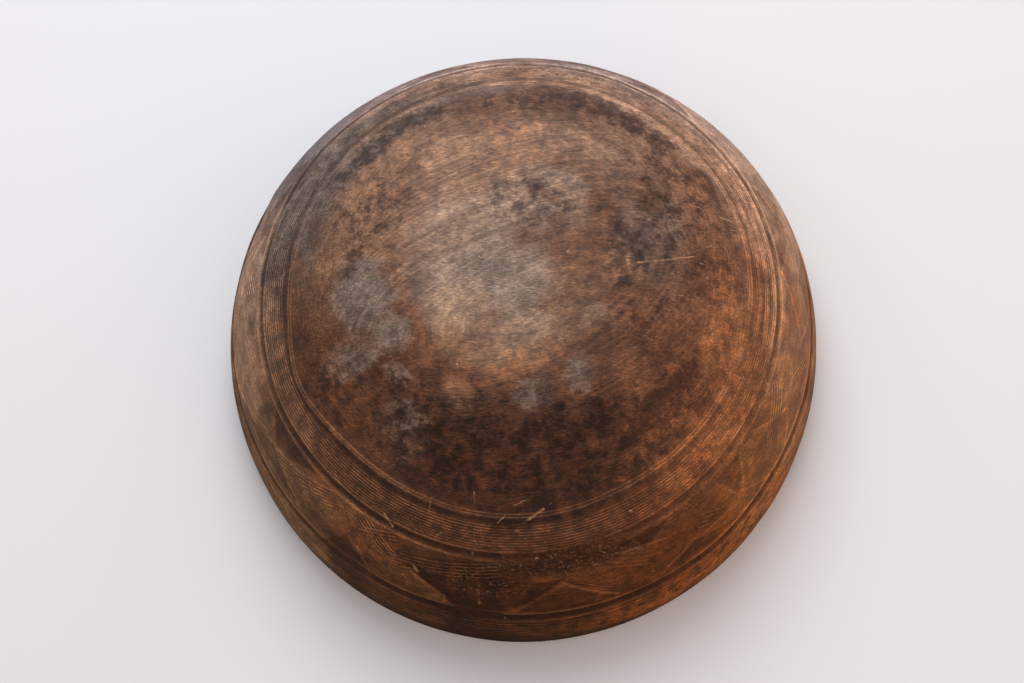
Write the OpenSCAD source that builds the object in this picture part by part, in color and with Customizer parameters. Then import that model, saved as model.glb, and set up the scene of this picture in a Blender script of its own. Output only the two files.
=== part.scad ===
// Carved wooden bowl: one block of dark hardwood, hollowed out and finished by hand.
// Mouth up, +Z up. The origin is the centre of the flat patch it stands on.
// Bands of turned and carved lines run round the outside, and a row of paired
// triangles is cut between the two broad grooves.

/* [Size] */
// Outside diameter at the widest point, mm
bowl_d = 300; // [285:1:320]
// Height from the flat patch to the rim, mm
bowl_h = 112; // [104:1:120]
// Diameter of the flat patch the bowl stands on, mm
base_d = 84; // [70:1:96]
// Height of the upright lip under the rim, mm
lip_h = 5; // [3:0.5:8]
// Radius of the turn from underside to side, mm
shoulder_r = 82; // [74:1:92]

/* [Wall] */
// Thickness in the middle of the floor, mm
floor_t = 13; // [9:0.5:16]
// Thickness at the rim, mm
rim_t = 6; // [5:0.25:8]
// Bevel on each edge of the rim, mm
rim_bevel = 1; // [0.5:0.1:1.5]

/* [Double ring] */
// Distance of the inner ring line from the rim, measured along the wall, mm
ring_from_rim = 107.9; // [106:0.1:110]
// Spacing of the two ring lines, mm
ring_gap = 1.6; // [1.4:0.1:2]
// Width of a ring line, mm
ring_w = 0.9; // [0.6:0.05:1.2]
// Depth of a ring line, mm
ring_depth = 0.35; // [0.2:0.05:0.5]

/* [Comb band] */
// Distance of the band's first line from the rim, along the wall, mm
comb_from_rim = 101.7; // [101.2:0.1:102.4]
// Number of lines in the band
comb_count = 10; // [7:1:10]
// Spacing of the lines, mm
comb_pitch = 1.44; // [1.3:0.01:1.46]
// Width of a comb line, mm
comb_w = 1; // [0.6:0.05:1.2]
// Depth of a comb line, mm
comb_depth = 0.35; // [0.2:0.05:0.5]

/* [Broad grooves] */
// Distance of the upper broad groove from the rim, along the wall, mm
wide_from_rim = 85.3; // [85:0.1:85.4]
// Width of the upper broad groove, mm
wide_w = 3.6; // [3:0.1:3.8]
// Depth of the upper broad groove, mm
wide_depth = 0.8; // [0.5:0.1:1.2]
// Distance of the lower broad groove from the rim, along the wall, mm
low_from_rim = 40.2; // [39.5:0.1:41]
// Width of the lower broad groove, mm
low_w = 6.5; // [5:0.1:7]
// Depth of the lower broad groove, mm
low_depth = 0.9; // [0.5:0.1:1.4]

/* [Rim lines] */
// Distance of the first fine line from the rim, along the wall, mm
fine_from_rim = 32.9; // [30:0.1:34]
// Number of fine lines
fine_count = 5; // [3:1:6]
// Spacing of the fine lines, mm
fine_pitch = 3.35; // [2.5:0.05:3.6]
// Width of a fine line, mm
fine_w = 0.8; // [0.5:0.05:1.2]
// Depth of a fine line, mm
fine_depth = 0.25; // [0.15:0.05:0.4]

/* [Triangles] */
// Number of pairs round the bowl
pair_count = 7; // [5:1:8]
// Direction of the first pair, degrees from +X
pair_turn = -82; // [-180:1:180]
// Width of the triangle nearer the underside, mm
upper_tri_w = 44; // [30:1:56]
// Width of the triangle nearer the rim, mm
lower_tri_w = 56; // [36:1:64]
// Distance from a triangle's broad side to its point, mm
tri_l = 18; // [14:0.5:18]
// Depth of the triangles, mm
tri_depth = 0.6; // [0.3:0.1:1]

/* [Hidden] */
$fn = 180;

wood = [0.34, 0.21, 0.13];

// How far a cutting shape stands proud of the wall
clear = 0.6;

// The outside is four tangent runs: flat patch, underside arc, shoulder arc,
// side arc, then the upright lip. The shoulder spans these two slopes.
slope_a = 25;
slope_b = 65;
arc_steps = 12;
floor_steps = 6;

outer_r = bowl_d / 2;
flat_r = base_d / 2;
wide_z = bowl_h - lip_h;

// Radii of the underside and side arcs, from the width and height left for them
run_r = outer_r - flat_r - (sin(slope_b) - sin(slope_a)) * shoulder_r;
run_z = wide_z - (cos(slope_a) - cos(slope_b)) * shoulder_r;
arc_det = sin(slope_a) * cos(slope_b) - (1 - sin(slope_b)) * (1 - cos(slope_a));
under_r = (run_r * cos(slope_b) - (1 - sin(slope_b)) * run_z) / arc_det;
side_r = (sin(slope_a) * run_z - (1 - cos(slope_a)) * run_r) / arc_det;

// Where each run ends, as distance along the wall from the middle of the underside
s_under = flat_r + under_r * slope_a * PI / 180;
s_shoulder = s_under + shoulder_r * (slope_b - slope_a) * PI / 180;
s_side = s_shoulder + side_r * (90 - slope_b) * PI / 180;
s_rim = s_side + lip_h;

// Centre of the triangle row, and the distances its triangles keep from the
// middle of the row and from the broad grooves
tri_from_rim = (wide_from_rim + low_from_rim) / 2;
tri_point_gap = 1;
tri_groove_gap = 0.4;

// A triangle is flat and the wall is curved, so its prism reaches well into the wall
prism_in = 14;
prism_out = 4;

// Slope of the wall at distance s, degrees from level
function slope(s) =
    s <= flat_r ? 0 :
    s <= s_under ? (s - flat_r) / under_r * 180 / PI :
    s <= s_shoulder ? slope_a + (s - s_under) / shoulder_r * 180 / PI :
    s <= s_side ? slope_b + (s - s_shoulder) / side_r * 180 / PI : 90;

// Radius and height of the outside at distance s
function r_under(a) = flat_r + under_r * sin(a);
function z_under(a) = under_r * (1 - cos(a));
function r_shoulder(a) = r_under(slope_a) + shoulder_r * (sin(a) - sin(slope_a));
function z_shoulder(a) = z_under(slope_a) + shoulder_r * (cos(slope_a) - cos(a));
function r_side(a) = r_shoulder(slope_b) + side_r * (sin(a) - sin(slope_b));
function z_side(a) = z_shoulder(slope_b) + side_r * (cos(slope_b) - cos(a));
function outside(s) =
    s <= flat_r ? [s, 0] :
    s <= s_under ? [r_under(slope(s)), z_under(slope(s))] :
    s <= s_shoulder ? [r_shoulder(slope(s)), z_shoulder(slope(s))] :
    s <= s_side ? [r_side(slope(s)), z_side(slope(s))] :
    [outer_r, wide_z + s - s_side];

// A point at distance s, moved outwards by d
function off_wall(s, d) = outside(s) + d * [sin(slope(s)), -cos(slope(s))];

// Wall thickness: full in the floor, thinning smoothly to the rim
function wall_t(s) = floor_t - (floor_t - rim_t) * pow(s / s_side, 2);
function inside(s) = off_wall(s, -wall_t(s));

// Even stops along one run
function run_stops(from, to) = [for (i = [1:arc_steps]) from + (to - from) * i / arc_steps];
wall_stops = concat([flat_r], run_stops(flat_r, s_under), run_stops(s_under, s_shoulder),
                    run_stops(s_shoulder, s_side));
floor_stops = [for (i = [0:floor_steps - 1]) flat_r * i / floor_steps];
last_stop = len(wall_stops) - 1;

// Half section of the plain hollow bowl
module plain_section() {
    outer_points = [for (s = wall_stops) outside(s)];
    rim_points = [
        [outer_r, bowl_h - rim_bevel],
        [outer_r - rim_bevel, bowl_h],
        [outer_r - rim_t + rim_bevel, bowl_h],
        [outer_r - rim_t, bowl_h - rim_bevel]
    ];
    side_points = [for (i = [0:last_stop]) inside(wall_stops[last_stop - i])];
    floor_points = [for (i = [1:floor_steps]) inside(floor_stops[floor_steps - i])];
    polygon(concat([[0, 0]], outer_points, rim_points, side_points, floor_points));
}

// Section of one groove, at a distance from the rim along the wall
module groove(from_rim, w, depth, floor_w) {
    s = s_rim - from_rim;
    translate(outside(s))
        rotate(slope(s))
            polygon([
                [-w / 2, -clear],
                [-w / 2, 0],
                [-floor_w / 2, depth],
                [floor_w / 2, depth],
                [w / 2, 0],
                [w / 2, -clear]
            ]);
}

module double_ring() {
    for (i = [0:1])
        groove(ring_from_rim - i * ring_gap, ring_w, ring_depth, ring_w / 4);
}

module comb_band() {
    for (i = [0:comb_count - 1])
        groove(comb_from_rim - i * comb_pitch, comb_w, comb_depth, comb_w / 4);
}

module broad_grooves() {
    groove(wide_from_rim, wide_w, wide_depth, wide_w / 2);
    groove(low_from_rim, low_w, low_depth, low_w / 2);
}

module rim_lines() {
    for (i = [0:fine_count - 1])
        groove(fine_from_rim - i * fine_pitch, fine_w, fine_depth, fine_w / 4);
}

// The hollow bowl with every groove that runs right round
module turned_bowl() {
    rotate_extrude()
        difference() {
            plain_section();
            double_ring();
            comb_band();
            broad_grooves();
            rim_lines();
        }
}

// Skin of the wall in the triangle row, as deep as the triangles are cut
module carving_skin() {
    s_from = s_rim - wide_from_rim + wide_w / 2 + tri_groove_gap;
    s_to = s_rim - low_from_rim - low_w / 2 - tri_groove_gap;
    stops = [for (i = [0:arc_steps]) s_from + (s_to - s_from) * i / arc_steps];
    rotate_extrude()
        polygon(concat(
            [for (s = stops) off_wall(s, clear)],
            [for (i = [0:arc_steps]) off_wall(stops[arc_steps - i], -tri_depth)]
        ));
}

// One triangle as a prism square to the wall. side is -1 towards the underside
// and 1 towards the rim; the point is in the middle of the row.
module triangle_prism(side, w) {
    point_y = side * tri_point_gap;
    broad_y = side * (tri_point_gap + tri_l);
    translate([0, 0, -prism_in])
        linear_extrude(prism_in + prism_out)
            polygon([[0, point_y], [-w / 2, broad_y], [w / 2, broad_y]]);
}

module triangle_pair() {
    s = s_rim - tri_from_rim;
    translate([outside(s)[0], 0, outside(s)[1]])
        rotate([0, 180 - slope(s), 0])
            rotate([0, 0, 90]) {
                triangle_prism(-1, upper_tri_w);
                triangle_prism(1, lower_tri_w);
            }
}

module triangle_row() {
    for (i = [0:pair_count - 1])
        rotate([0, 0, pair_turn + i * 360 / pair_count])
            triangle_pair();
}

module bowl() {
    color(wood)
        difference() {
            turned_bowl();
            intersection() {
                carving_skin();
                triangle_row();
            }
        }
}

bowl();
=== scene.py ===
import math
import bpy
import numpy as np
from mathutils import Matrix, Vector


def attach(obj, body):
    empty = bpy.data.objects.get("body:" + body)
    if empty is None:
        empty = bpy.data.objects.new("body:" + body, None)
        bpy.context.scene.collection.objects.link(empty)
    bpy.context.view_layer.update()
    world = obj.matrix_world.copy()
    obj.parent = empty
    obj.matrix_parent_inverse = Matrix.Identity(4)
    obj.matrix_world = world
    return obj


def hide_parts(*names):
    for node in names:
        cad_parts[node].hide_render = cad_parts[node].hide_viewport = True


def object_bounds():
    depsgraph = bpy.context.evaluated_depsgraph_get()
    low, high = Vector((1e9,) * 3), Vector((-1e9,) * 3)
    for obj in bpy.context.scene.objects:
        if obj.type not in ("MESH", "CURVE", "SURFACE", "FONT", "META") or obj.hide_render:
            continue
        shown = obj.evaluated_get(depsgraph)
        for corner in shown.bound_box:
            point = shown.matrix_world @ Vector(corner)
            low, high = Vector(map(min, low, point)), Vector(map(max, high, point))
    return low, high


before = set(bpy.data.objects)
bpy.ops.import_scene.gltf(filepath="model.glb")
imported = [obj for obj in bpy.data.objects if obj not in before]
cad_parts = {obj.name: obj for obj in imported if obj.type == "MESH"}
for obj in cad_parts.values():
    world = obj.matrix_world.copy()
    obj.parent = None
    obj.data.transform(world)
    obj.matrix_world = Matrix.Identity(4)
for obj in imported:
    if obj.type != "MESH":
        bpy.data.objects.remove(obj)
cad_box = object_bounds()

# ------------ sizes, in mm
# The same outside as the CAD: flat patch, underside arc, shoulder arc, side arc, lip.
# a is the angle round the bowl from -Y towards -X, in degrees, and s is the distance
# along the outside from the middle of the underside. u is what s would be if the
# hand-held tool had kept to true rings. p holds the points themselves.
MM_PER_M = 1000
RADIUS = round(MM_PER_M * cad_box[1][0], 3)
HEIGHT = round(MM_PER_M * cad_box[1][2], 3)
FLAT, LIP, SHOULDER = 42.0, 5.0, 82.0
SLOPE_A, SLOPE_B = math.radians(25), math.radians(65)
FLOOR_T, RIM_T = 13.0, 6.0


def arc_radii():
    """Radii of the underside and side arcs, from the width and height left for them."""
    sin_a, cos_a = math.sin(SLOPE_A), math.cos(SLOPE_A)
    sin_b, cos_b = math.sin(SLOPE_B), math.cos(SLOPE_B)
    run_r = RADIUS - FLAT - (sin_b - sin_a) * SHOULDER
    run_z = HEIGHT - LIP - (cos_a - cos_b) * SHOULDER
    det = sin_a * cos_b - (1 - sin_b) * (1 - cos_a)
    under = (run_r * cos_b - (1 - sin_b) * run_z) / det
    side = (sin_a * run_z - (1 - cos_a) * run_r) / det
    return under, side


UNDER, SIDE = arc_radii()
S_UNDER = FLAT + UNDER * SLOPE_A
S_SHOULDER = S_UNDER + SHOULDER * (SLOPE_B - SLOPE_A)
S_SIDE = S_SHOULDER + SIDE * (math.pi / 2 - SLOPE_B)
S_RIM = S_SIDE + LIP


def slope(s):
    """Slope of the outside at distance s, in radians from level."""
    under, shoulder = (s - FLAT) / UNDER, SLOPE_A + (s - S_UNDER) / SHOULDER
    side = SLOPE_B + (s - S_SHOULDER) / SIDE
    runs = [s <= FLAT, s <= S_UNDER, s <= S_SHOULDER, s <= S_SIDE]
    return np.select(runs, [0 * s, under, shoulder, side], math.pi / 2)


def outside(s):
    """Radius and height of the outside at distance s."""
    here = slope(s)
    under, side = np.minimum(here, SLOPE_A), np.maximum(here, SLOPE_B)
    shoulder = np.clip(here, SLOPE_A, SLOPE_B)
    r = np.minimum(s, FLAT) + UNDER * np.sin(under)
    r = r + SHOULDER * (np.sin(shoulder) - math.sin(SLOPE_A)) + SIDE * (np.sin(side) - math.sin(SLOPE_B))
    z = UNDER * (1 - np.cos(under)) + SHOULDER * (math.cos(SLOPE_A) - np.cos(shoulder))
    z = z + SIDE * (math.cos(SLOPE_B) - np.cos(side)) + np.maximum(s - S_SIDE, 0)
    return r, z


def off_wall(s, depth):
    """Radius and height of a point that lies depth under the outside at distance s."""
    r, z = outside(s)
    return r - depth * np.sin(slope(s)), z + depth * np.cos(slope(s))


# ------------ seeded softness
LATTICE_SIZE = 32
LATTICE = np.random.default_rng(11).random((LATTICE_SIZE, LATTICE_SIZE, LATTICE_SIZE))
SHIFT_STEP = np.array([3.17, 5.71, 7.93])


def noise(p, size, shift=0.0):
    """Smooth noise from -1 to 1 with lumps of about size, at points p (n, 3)."""
    q = p / size + shift * SHIFT_STEP
    cell = np.floor(q).astype(int)
    part = q - cell
    part = part * part * (3 - 2 * part)
    out = np.zeros(len(p))
    for c in range(8):
        corner = np.array([c & 1, c >> 1 & 1, c >> 2])
        weight = np.prod(np.where(corner, part, 1 - part), axis=1)
        at = (cell + corner) % LATTICE_SIZE
        out += weight * LATTICE[at[:, 0], at[:, 1], at[:, 2]]
    return out * 2 - 1


def fractal(p, size, shift=0.0, steps=3):
    """Noise with finer noise laid over it."""
    return sum(noise(p, size / 2 ** k, shift + k) / 2 ** k for k in range(steps)) / 1.5


def patchy(p, size, shift, middle, swing, least, most):
    """A strength that varies over the wood about the middle, by the swing, within limits."""
    return np.clip(middle + swing * noise(p, size, shift), least, most)


def step(x, lo, hi):
    """0 up to lo, 1 from hi on, smooth between."""
    t = np.clip((x - lo) / (hi - lo), 0, 1)
    return t * t * (3 - 2 * t)


def between(x, rise_from, rise_to, fall_from, fall_to):
    """Up from 0 to 1 over the rise, and down again over the fall."""
    return step(x, rise_from, rise_to) * (1 - step(x, fall_from, fall_to))


def bump(x, mid, half):
    """1 at mid, falling away smoothly on both sides."""
    return np.exp(-((x - mid) / half) ** 2)


def notch(x, mid, half):
    """1 at mid, falling straight to 0 at half on both sides."""
    return np.clip(1 - np.abs(x - mid) / half, 0, 1)


def turn(a, mid):
    """Angle from mid, the short way round."""
    return (a - mid + 180) % 360 - 180


def facing(a, mid, half):
    """1 at angle mid, falling away smoothly on both sides."""
    return bump(turn(a, mid), 0, half)


# ------------ carving
# Distances along the outside, u
RING_LINES = (111.0, 112.6)
COMB_FROM, COMB_PITCH, COMB_COUNT = 117.2, 1.44, 10
COMB_TO = COMB_FROM + COMB_PITCH * (COMB_COUNT - 1)
WIDE = (131.3, 135.1)
ZONE = (136.4, 174.0)
LOW = (174.6, 181.2)
FINE_LINES = (186.0, 189.4, 192.7, 196.1, 199.4)
FINE_PITCH = 3.35
STROKES_FROM = 133
# Length along the wall of one degree round it, about
MM_PER_DEG = 2.4

RING_DEPTH, COMB_DEPTH, WIDE_DEPTH, LOW_DEPTH = 0.4, 0.36, 0.55, 0.9
FINE_DEPTH, OUTLINE_DEPTH = 0.3, 0.25


def wander(a, u):
    """How far the hand-held lines stray from a true ring."""
    ring = 4.6 * facing(a, -66, 13) + 2.8 * facing(a, 104, 30) - 1.4 * facing(a, 28, 16)
    ring = ring - 1.8 * facing(a, -150, 26)
    near_ring = step(u, 92, 108) * (1 - 0.75 * step(u, 113, 118.5))
    low = 2.0 * facing(a, 42, 14) + 0.8 * np.sin(np.radians(a * 2 + 40))
    near_low = step(u, 160, 176) * (1 - 0.5 * step(u, 183, 200))
    return ring * near_ring * (1 - step(u, 134, 142)) + low * near_low


# Triangles cut between the broad grooves: corners as (a, s), how deep, how dark,
# how light the cut edges are
PAIRED = []
for mid in (-161.0, -110.0, 148.0):
    PAIRED.append((((mid - 10, 137), (mid + 10, 137), (mid, 154)), 0.6, 0.55, 0.5))
    PAIRED.append((((mid - 13, 175), (mid, 156), (mid + 13, 175)), 0.6, 0.6, 0.5))
TRIANGLES = PAIRED + [
    (((-65.5, 137), (-46.5, 136), (-59, 151.5)), 0.5, 0.65, 0.2),
    (((-60, 152.5), (-49, 167), (-70, 167)), 0.45, 0.45, 0.2),
    (((-41, 176), (-36, 155), (-29.5, 176)), 0.5, 0.8, 0.1),
    (((-23, 151), (10, 149), (-7.5, 184)), 0.7, 0.72, 0.2),
    (((20, 137.5), (34, 137.5), (27, 146.5)), 0.5, 0.85, 0.1),
    (((27.5, 174), (37, 162), (47.5, 174)), 0.45, 0.42, 0.35),
    (((46.5, 139), (54.5, 139), (50, 161)), 0.5, 0.45, 0.3),
    (((97, 137), (119, 137), (107, 156)), 0.35, 0.3, 0.3),
    (((84, 176), (97, 157), (108, 176)), 0.35, 0.3, 0.2),
]
# Light scored outlines: from (a, s) to (a, s), width in mm
OUTLINES = [
    ((9, 151.5), (-1, 172.5), 0.5), ((9.5, 152), (19.5, 171.5), 1.2), ((18, 140.5), (31, 147), 0.8),
    ((-59.5, 153), (-50, 144.5), 1.3), ((-50, 144.5), (-42.5, 136.5), 1.0),
    ((-59.5, 153), (-49, 166), 0.9), ((-21, 156), (-14, 168), 1.3), ((-14, 168), (-14.2, 175), 0.9),
    ((-33, 159), (-29, 175), 0.8), ((37, 161.5), (30, 168), 1.1), ((37, 161.5), (46, 162.5), 0.9),
    ((54.5, 140), (50.5, 160), 0.9), ((50.5, 160), (58, 175), 0.9), ((70, 158), (63, 176), 0.9),
    ((70, 158), (60, 139), 0.9), ((84, 157), (97, 138), 0.9), ((84, 157), (94, 175), 0.9),
    ((-78, 174), (-63, 152), 0.9), ((-94, 157), (-110, 138), 0.9), ((-94, 157), (-108, 175), 0.9),
    ((122, 157), (136, 138), 0.9), ((122, 157), (134, 175), 0.9), ((-174, 157), (172, 138), 0.9),
    ((-174, 157), (172, 175), 0.9), ((-135, 157), (-122, 138), 0.9), ((-135, 157), (-124, 175), 0.9),
]
# Bundles of scored strokes: the first from (a, s) to (a, s), how many, apart by mm, strength
STROKES = [
    ((-58, 154), (-43.5, 138), 3, 1.9, 0.8), ((-49.5, 152), (-40, 139.5), 3, 1.9, 0.5),
    ((-35.5, 141), (-26, 156), 5, -1.9, 0.85), ((-50, 156.5), (-41, 171.5), 4, -1.9, 0.7),
    ((-26, 147.5), (-4, 136.8), 5, 2.1, 0.8), ((-34, 144), (-26, 136), 3, 2.0, 0.8),
    ((12.5, 153.5), (21, 168), 2, 2.0, 0.5), ((17, 146), (27, 158), 4, -2.6, 0.3),
    ((40, 148), (46, 158), 4, 2.6, 0.3), ((-28, 160), (-19, 171), 3, -2.4, 0.35),
]
for mid in (-140, -92, 72, 118, 165):
    STROKES.append(((mid - 12, 154), (mid - 1, 138.5), 5, 2.0, 0.7))
    STROKES.append(((mid + 2, 158), (mid + 10, 172), 4, -2.0, 0.7))


def from_start(a, s, start, end):
    """Where places are, and where a line ends, in mm along the wall from the line's start."""
    x, y = turn(a, start[0]) * MM_PER_DEG, s - start[1]
    run_x, run_y = turn(end[0], start[0]) * MM_PER_DEG, end[1] - start[1]
    return x, y, run_x, run_y


def line_distance(a, s, start, end):
    """Distance in mm along the wall from the line between two points."""
    x, y, run_x, run_y = from_start(a, s, start, end)
    t = np.clip((x * run_x + y * run_y) / (run_x * run_x + run_y * run_y), 0, 1)
    return np.hypot(x - t * run_x, y - t * run_y)


def triangle_distance(a, s, corners):
    """Distance in mm outside a triangle, negative inside."""
    mid = corners[0][0]
    points = [(turn(c[0], mid) * MM_PER_DEG, c[1]) for c in corners]
    area = sum(p[0] * q[1] - q[0] * p[1] for p, q in zip(points, points[1:] + points[:1]))
    if area > 0:
        points = points[::-1]
    x, distance = turn(a, mid) * MM_PER_DEG, np.full(len(a), -np.inf)
    for p, q in zip(points, points[1:] + points[:1]):
        run_x, run_y = q[0] - p[0], q[1] - p[1]
        beyond = (-(x - p[0]) * run_y + (s - p[1]) * run_x) / math.hypot(run_x, run_y)
        distance = np.maximum(distance, beyond)
    return distance


class Cut:
    """Depth cut into the outside in mm, and how dark, light and rough it is, from 0 to 1; dark also holds
    painted shade along the rim.
    """

    def __init__(self, count):
        self.depth, self.dark = np.zeros(count), np.zeros(count)
        self.light, self.rough = np.zeros(count), np.zeros(count)

    def darken(self, amount):
        self.dark = np.maximum(self.dark, amount)

    def lighten(self, amount):
        self.light = np.maximum(self.light, amount)

    def mask(self):
        dark, light = np.clip(self.dark, 0, 1), np.clip(self.light, 0, 1)
        return np.stack([dark, light, self.rough, 0 * dark], 1)


def cut_ring(cut, a, u, p, soft):
    """The two ring lines, and the dark band between them and the comb."""
    fade = patchy(p, 26.0, 5, 0.85, 0.35, 0.3, 1.2) * (1 - 0.6 * facing(a, -132, 30))
    worn = 1 - 0.85 * facing(a, 73, 13)
    for mid, strength in zip(RING_LINES, (0.9, 1.0)):
        line = notch(u, mid, 0.55) * fade * worn * strength
        cut.depth += RING_DEPTH * line
        cut.lighten(line)
    cut.lighten(facing(a, -46, 22) * notch(u, 111.2, 1.1) * np.clip(0.9 + 0.5 * soft, 0.3, 1))
    band = 0.62 + 0.38 * facing(a, -28, 45)
    cut.darken(band * bump(u, 114.8, 2.0) * (1 - 0.7 * facing(a, 70, 9)))


def cut_comb(cut, a, u, p):
    """The comb lines, with broad dark and light streaks where they run together."""
    in_comb = between(u, COMB_FROM - 0.8, COMB_FROM - 0.2, COMB_TO + 0.2, COMB_TO + 0.8)
    lines = 0.5 + 0.5 * np.cos((u - COMB_FROM) / COMB_PITCH * 2 * math.pi)
    cut.depth += COMB_DEPTH * lines * patchy(p, 17.0, 9, 0.8, 0.5, 0.25, 1.1) * in_comb
    cut.darken(0.1 * in_comb)
    together = facing(a, 100, 34) * patchy(p, 19.0, 15, 0.85, 0.6, 0.3, 1.1)
    for mid, half in ((115.6, 1.6), (121.8, 0.8), (126.8, 1.0)):
        cut.darken(0.85 * together * bump(u, mid, half))
    for mid, half in ((119.2, 0.9), (124.2, 1.0), (129.4, 0.7)):
        cut.lighten(0.5 * together * bump(u, mid, half))


def cut_wide_groove(cut, a, u, p):
    """The groove under the comb, with light edges."""
    groove = between(u, WIDE[0] - 0.4, WIDE[0] + 0.9, WIDE[1] - 1.4, WIDE[1] + 0.5)
    cut.depth += WIDE_DEPTH * groove * (1 - 0.6 * facing(a, -130, 30))
    worn = between(turn(a, 0), 4, 14, 72, 84)
    cut.darken((0.85 - 0.45 * worn + 0.2 * noise(p, 15.0, 7)) * groove)
    faint = 1 - 0.6 * between(turn(a, 0), 8, 20, 76, 88)
    for mid, strength in ((WIDE[0] - 0.8, 0.5), (WIDE[1] + 0.8, 0.85)):
        cut.lighten(strength * faint * bump(u, mid, 0.6) * patchy(p, 21.0, 4, 0.7, 0.6, 0, 1))


def cut_rim_lines(cut, a, u, p):
    """The broad groove below the triangles, and the fine lines under the rim."""
    groove = between(u, LOW[0] - 0.4, LOW[0] + 1.0, LOW[1] - 1.0, LOW[1] + 0.4)
    cut.depth += LOW_DEPTH * groove
    cut.darken(0.75 * groove)
    shown = (1 - 0.9 * facing(a, -12, 9)) * patchy(p, 24.0, 6, 0.75, 0.7, 0, 1)
    for mid, strength in ((LOW[0] - 0.9, 1.0), (LOW[1] + 0.8, 0.5)):
        cut.lighten(strength * bump(u, mid, 0.8) * shown)
    for mid in FINE_LINES:
        cut.depth += FINE_DEPTH * notch(u, mid, 0.7) * patchy(p, 30.0, mid, 0.7, 0.6, 0, 1)


def cut_triangles(cut, a, u, s, soft, wobble):
    """The triangles and their scored outlines."""
    in_zone = step(s, ZONE[0], ZONE[0] + 1) * (1 - step(u, ZONE[1] + 2, ZONE[1] + 6))
    edge_zone = step(s, ZONE[0] - 1, ZONE[0] + 1)
    for corners, deep, shade, edge in TRIANGLES:
        distance = triangle_distance(a, s, corners) + wobble
        inside = 1 - step(distance, -0.9, 0.4)
        cut.depth += deep * inside * in_zone
        cut.darken(shade * inside)
        cut.lighten(edge * bump(distance, 0.9, 0.7) * edge_zone * (0.75 + 0.3 * soft))
    for start, end, width in OUTLINES:
        line = notch(line_distance(a, s, start, end) + 0.4 * wobble, 0, width)
        cut.depth += OUTLINE_DEPTH * line
        cut.lighten(0.95 * line)


def chip_patch(cut, a, s, p):
    """A pitted, chipped patch across the wide groove and the triangles."""
    upper = facing(a, 12, 18) * bump(s, 138, 9.5)
    lower = facing(a, -6, 10) * bump(s, 151, 11)
    cut.rough = np.clip(1.6 * np.maximum(upper, lower) - 0.35, 0, 1)
    cut.depth += cut.rough * (0.35 + 0.55 * noise(p, 2.1, 8) + 0.4 * noise(p, 4.2, 1))
    cut.darken(0.85 * cut.rough)


def dark_bands_and_rim_shade(cut, a, s, wobble):
    """Dark bands where the pattern runs on over the rim, and painted shade along the rim towards -Y."""
    for mid, half, top in ((-8, 5.5, 172), (-34.5, 4.5, 158)):
        across = np.abs(turn(a, mid) + 1.2 * wobble)
        cut.darken(0.85 * (1 - step(across, half - 1.5, half + 1.5)) * step(s, top, top + 8))
    # Painted shade along the rim towards -Y
    cut.darken(facing(a, -10, 34) * step(s, 200, 213))


def carve(a, u, s, p):
    """Everything that is cut into the outside, and the painted shade along the rim."""
    cut = Cut(len(a))
    soft, wobble = fractal(p, 9.0, 2), 0.5 * noise(p, 6.0, 3)
    cut_ring(cut, a, u, p, soft)
    cut_comb(cut, a, u, p)
    cut_wide_groove(cut, a, u, p)
    cut_rim_lines(cut, a, u, p)
    cut_triangles(cut, a, u, s, soft, wobble)
    chip_patch(cut, a, s, p)
    dark_bands_and_rim_shade(cut, a, s, wobble)
    # the light edges are worn away in places
    cut.light *= 1 - 0.45 * facing(a, 48, 24) * between(u, 136, 139, 170, 173)
    cut.light *= (1 - 0.7 * cut.rough) * (1 - 0.8 * facing(a, -130, 34) * step(u, 118, 130))
    return cut


def hatch(a, u, s, p):
    """Two families of fine scored lines: phase and strength of the one, then of the other."""
    out = np.zeros((len(a), 4))
    worn = 0.62 * facing(a, 52, 26) + 0.35 * facing(a, 130, 30) + 0.6 * facing(a, -130, 32)
    comb = between(u, COMB_FROM - 0.7, COMB_FROM - 0.3, COMB_TO + 0.3, COMB_TO + 0.7)
    comb = comb * patchy(p, 17.0, 9, 0.95, 0.6, 0.3, 1) * (1 - worn)
    fine = between(u, 184.3, 185, 200.5, 201.2) * patchy(p, 30.0, 19, 0.6, 0.6, 0, 0.9)
    near_comb = u < 150
    comb_phase, fine_phase = (u - COMB_FROM) / COMB_PITCH, (u - FINE_LINES[0]) / FINE_PITCH
    out[:, 0] = np.where(near_comb, comb_phase, fine_phase) + 0.25
    out[:, 1] = np.where(near_comb, comb, fine)
    for start, end, count, gap, strong in STROKES:
        x, y, run_x, run_y = from_start(a, s, start, end)
        length, middle = math.hypot(run_x, run_y), (count - 1) / 2
        along, off = (x * run_x + y * run_y) / length, (y * run_x - x * run_y) / length / gap
        ends = np.minimum(np.clip(along / 3 + 0.5, 0, 1), np.clip((length - along) / 3 + 0.5, 0, 1))
        sides = np.clip(1 - (np.abs(off - middle) - middle - 0.3) / 0.4, 0, 1)
        strength = strong * ends * sides
        phase_at = 0 if run_y < 0 else 2
        shown = (strength > out[:, phase_at + 1]) & (u > STROKES_FROM)
        out[shown, phase_at] = off[shown] + 0.25
        out[shown, phase_at + 1] = strength[shown]
    return out


# ------------ patina
TONES = {
    "pale": (0.214, 0.163, 0.138),
    "straw": (0.265, 0.184, 0.136),
    "tan": (0.205, 0.116, 0.070),
    "rose": (0.320, 0.188, 0.124),
    "orange": (0.230, 0.100, 0.046),
    "rust": (0.150, 0.062, 0.027),
    "brown": (0.110, 0.051, 0.029),
    "umber": (0.080, 0.033, 0.016),
    "dark": (0.050, 0.0195, 0.0100),
    "smoke": (0.104, 0.079, 0.068),
    "dusty": (0.140, 0.104, 0.088),
}
INSIDE_TONE = (0.135, 0.062, 0.034)
# A patch this wide runs right round
ALL_ROUND = 999
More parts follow.
